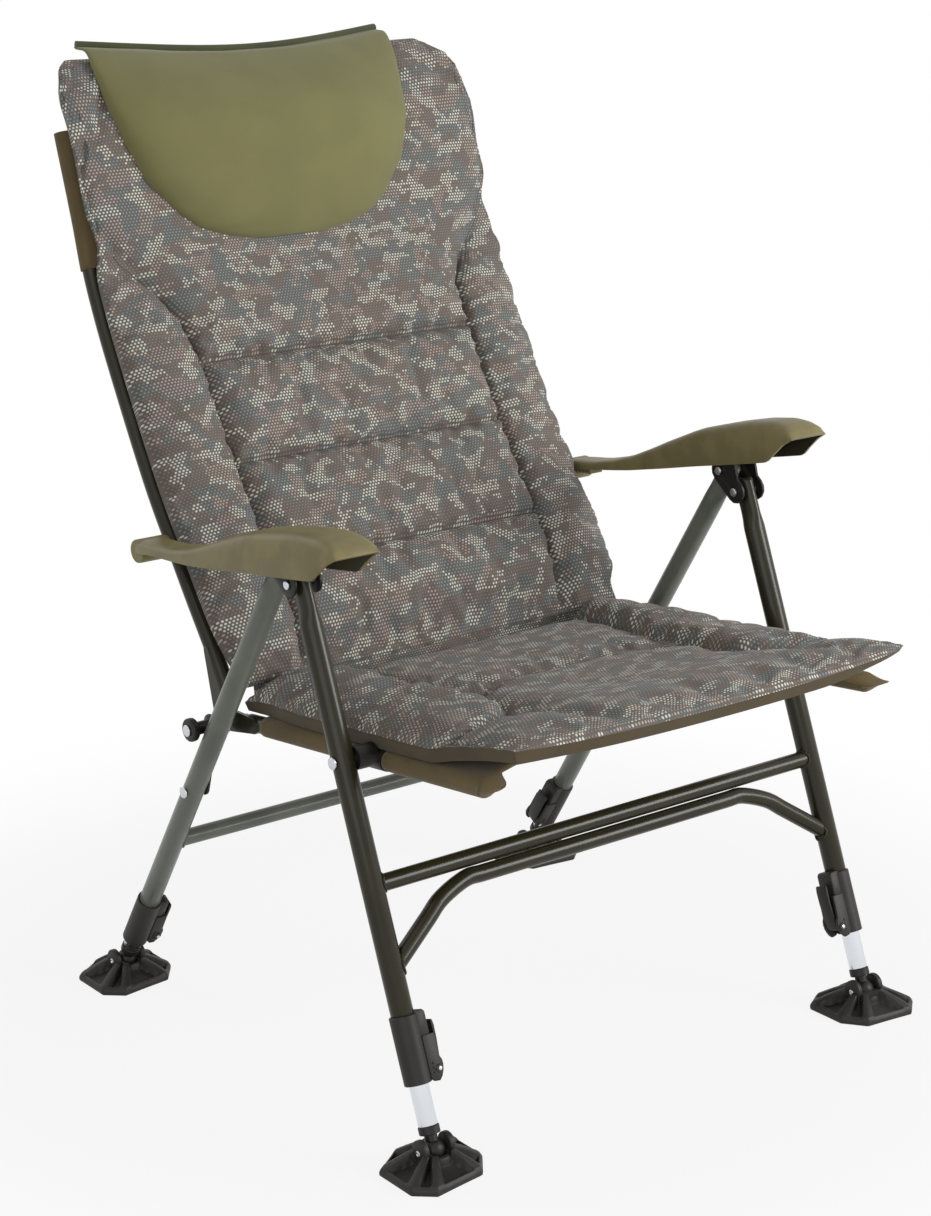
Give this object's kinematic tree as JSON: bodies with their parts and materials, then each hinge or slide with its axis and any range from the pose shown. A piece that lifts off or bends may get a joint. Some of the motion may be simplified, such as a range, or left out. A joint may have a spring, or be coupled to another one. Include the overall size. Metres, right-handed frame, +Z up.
{
  "type": "folding fishing chair",
  "caption": "High-backed folding fishing chair with padded seat and back, head pillow, hinged armrests, reclining back, telescopic legs and swivelling mud feet.",
  "frame": {"origin": "centre of the floor under the open chair, at the middle of its outline from above", "axes": "+Z up, the sitter faces -Y, +X towards the left hand of the sitter"},
  "size_m": [0.744, 0.9028, 1.1006],
  "materials": {
    "gloss_olive_paint": "gloss",
    "satin_grey_green_paint": "satin",
    "olive_moulding": "matte",
    "charcoal_moulding": "matte",
    "black_moulding": "matte",
    "bright_aluminium": "polished",
    "zinc_plate": "satin",
    "camouflage_cloth": "woven",
    "khaki_cloth": "woven",
    "olive_cloth": "soft knit"
  },
  "bodies": {
    "rear_frame": {"rear_leg_right": "satin_grey_green_paint", "rear_leg_left": "satin_grey_green_paint", "top_bracket_right": "black_moulding", "top_bracket_left": "black_moulding", "bracket_rivet_right": "zinc_plate", "bracket_rivet_left": "zinc_plate", "front_pivot_bolt_right": "zinc_plate", "front_pivot_bolt_left": "zinc_plate", "link_bolt_right": "zinc_plate", "link_bolt_left": "zinc_plate", "rear_clamp_right": "charcoal_moulding", "rear_clamp_left": "charcoal_moulding", "rear_cross_tube": "satin_grey_green_paint"},
    "front_frame": {"front_leg_right": "gloss_olive_paint", "front_leg_left": "gloss_olive_paint", "seat_pivot_bolt_right": "zinc_plate", "seat_pivot_bolt_left": "zinc_plate", "front_clamp_right": "charcoal_moulding", "front_clamp_left": "charcoal_moulding", "front_cross_tube_upper": "gloss_olive_paint", "front_cross_tube_lower": "gloss_olive_paint"},
    "seat_frame": {"seat_side_tube_right": "gloss_olive_paint", "seat_side_tube_left": "gloss_olive_paint", "seat_clamp_right": "black_moulding", "seat_clamp_left": "black_moulding", "recline_bolt_right": "zinc_plate", "recline_bolt_left": "zinc_plate", "seat_sling": "khaki_cloth", "seat_pad": "camouflage_cloth"},
    "rear_links": {"rear_link_right": "charcoal_moulding", "rear_link_left": "charcoal_moulding"},
    "back_frame": {"back_side_tube_right": "gloss_olive_paint", "back_side_tube_left": "gloss_olive_paint", "back_top_bar": "gloss_olive_paint", "back_pocket": "khaki_cloth", "back_pad": "camouflage_cloth", "head_pillow": "olive_cloth", "armrest_pin_right": "zinc_plate", "armrest_pin_left": "zinc_plate"},
    "armrest_right": {"armrest_right": "olive_moulding"},
    "recline_knob_right": {"recline_knob_right": "black_moulding"},
    "front_extension_right": {"front_inner_tube_right": "bright_aluminium", "front_ball_stud_right": "black_moulding"},
    "front_foot_right": {"front_mud_foot_right": "charcoal_moulding"},
    "front_lever_right": {"front_lever_right": "black_moulding"},
    "rear_extension_right": {"rear_inner_tube_right": "bright_aluminium", "rear_ball_stud_right": "black_moulding"},
    "rear_foot_right": {"rear_mud_foot_right": "charcoal_moulding"},
    "rear_lever_right": {"rear_lever_right": "black_moulding"},
    "armrest_left": {"armrest_left": "olive_moulding"},
    "recline_knob_left": {"recline_knob_left": "black_moulding"},
    "front_extension_left": {"front_inner_tube_left": "bright_aluminium", "front_ball_stud_left": "black_moulding"},
    "front_foot_left": {"front_mud_foot_left": "charcoal_moulding"},
    "front_lever_left": {"front_lever_left": "black_moulding"},
    "rear_extension_left": {"rear_inner_tube_left": "bright_aluminium", "rear_ball_stud_left": "black_moulding"},
    "rear_foot_left": {"rear_mud_foot_left": "charcoal_moulding"},
    "rear_lever_left": {"rear_lever_left": "black_moulding"}
  },
  "joints": [
    {"name": "fold", "type": "hinge", "parent": "rear_frame", "child": "front_frame", "pos_m": [0, -0.142, 0.587], "axis": [1, 0, 0], "range_deg": [0, 36]},
    {"name": "seat_tilt", "type": "hinge", "parent": "front_frame", "child": "seat_frame", "pos_m": [0, -0.21282, 0.409], "axis": [1, 0, 0], "range_deg": [-60, 60]},
    {"name": "link_swing", "type": "hinge", "parent": "seat_frame", "child": "rear_links", "pos_m": [0, 0.059, 0.372], "axis": [1, 0, 0], "range_deg": [-90, 90]},
    {"name": "recline", "type": "hinge", "parent": "seat_frame", "child": "back_frame", "pos_m": [0, 0.059, 0.372], "axis": [1, 0, 0], "range_deg": [-28, 4]},
    {"name": "armrest_level_right", "type": "hinge", "parent": "back_frame", "child": "armrest_right", "pos_m": [-0.3, 0.164, 0.556], "axis": [1, 0, 0], "range_deg": [-3, 19]},
    {"name": "knob_turn_right", "type": "hinge", "parent": "seat_frame", "child": "recline_knob_right", "pos_m": [-0.33, 0.059, 0.372], "axis": [1, 0, 0], "range_deg": [-170, 170]},
    {"name": "front_extend_right", "type": "slide", "parent": "front_frame", "child": "front_extension_right", "axis": [0, -0.3697, -0.9292], "range_m": [-0.042, 0.085]},
    {"name": "front_foot_tilt_right", "type": "hinge", "parent": "front_extension_right", "child": "front_foot_right", "pos_m": [-0.319, -0.366, 0.024], "axis": [1, 0, 0], "range_deg": [-20, 20]},
    {"name": "front_lever_swing_right", "type": "hinge", "parent": "front_frame", "child": "front_lever_right", "pos_m": [-0.2978, -0.33613, 0.09908], "axis": [0, 0.9292, -0.3697], "range_deg": [0, 100]},
    {"name": "rear_extend_right", "type": "slide", "parent": "rear_frame", "child": "rear_extension_right", "axis": [0, 0.5279, -0.8493], "range_m": [-0.012, 0.118]},
    {"name": "rear_foot_tilt_right", "type": "hinge", "parent": "rear_extension_right", "child": "rear_foot_right", "pos_m": [-0.319, 0.248, 0.024], "axis": [1, 0, 0], "range_deg": [-20, 20]},
    {"name": "rear_lever_swing_right", "type": "hinge", "parent": "rear_frame", "child": "rear_lever_right", "pos_m": [-0.2978, 0.22065, 0.06799], "axis": [0, 0.8493, 0.5279], "range_deg": [0, 100]},
    {"name": "armrest_level_left", "type": "hinge", "parent": "back_frame", "child": "armrest_left", "pos_m": [0.3, 0.164, 0.556], "axis": [1, 0, 0], "range_deg": [-3, 19]},
    {"name": "knob_turn_left", "type": "hinge", "parent": "seat_frame", "child": "recline_knob_left", "pos_m": [0.33, 0.059, 0.372], "axis": [1, 0, 0], "range_deg": [-170, 170]},
    {"name": "front_extend_left", "type": "slide", "parent": "front_frame", "child": "front_extension_left", "axis": [0, -0.3697, -0.9292], "range_m": [-0.042, 0.085]},
    {"name": "front_foot_tilt_left", "type": "hinge", "parent": "front_extension_left", "child": "front_foot_left", "pos_m": [0.319, -0.366, 0.024], "axis": [1, 0, 0], "range_deg": [-20, 20]},
    {"name": "front_lever_swing_left", "type": "hinge", "parent": "front_frame", "child": "front_lever_left", "pos_m": [0.2978, -0.33613, 0.09908], "axis": [0, -0.9292, 0.3697], "range_deg": [0, 100]},
    {"name": "rear_extend_left", "type": "slide", "parent": "rear_frame", "child": "rear_extension_left", "axis": [0, 0.5279, -0.8493], "range_m": [-0.012, 0.118]},
    {"name": "rear_foot_tilt_left", "type": "hinge", "parent": "rear_extension_left", "child": "rear_foot_left", "pos_m": [0.319, 0.248, 0.024], "axis": [1, 0, 0], "range_deg": [-20, 20]},
    {"name": "rear_lever_swing_left", "type": "hinge", "parent": "rear_frame", "child": "rear_lever_left", "pos_m": [0.2978, 0.22065, 0.06799], "axis": [0, -0.8493, -0.5279], "range_deg": [0, 100]}
  ],
  "couplings": [
    {"joint": "seat_tilt", "follows": "fold", "ratio": -1.121},
    {"joint": "link_swing", "follows": "fold", "ratio": -2.046},
    {"joint": "armrest_level_right", "follows": "recline", "ratio": -0.66},
    {"joint": "armrest_level_left", "follows": "recline", "ratio": -0.66}
  ]
}
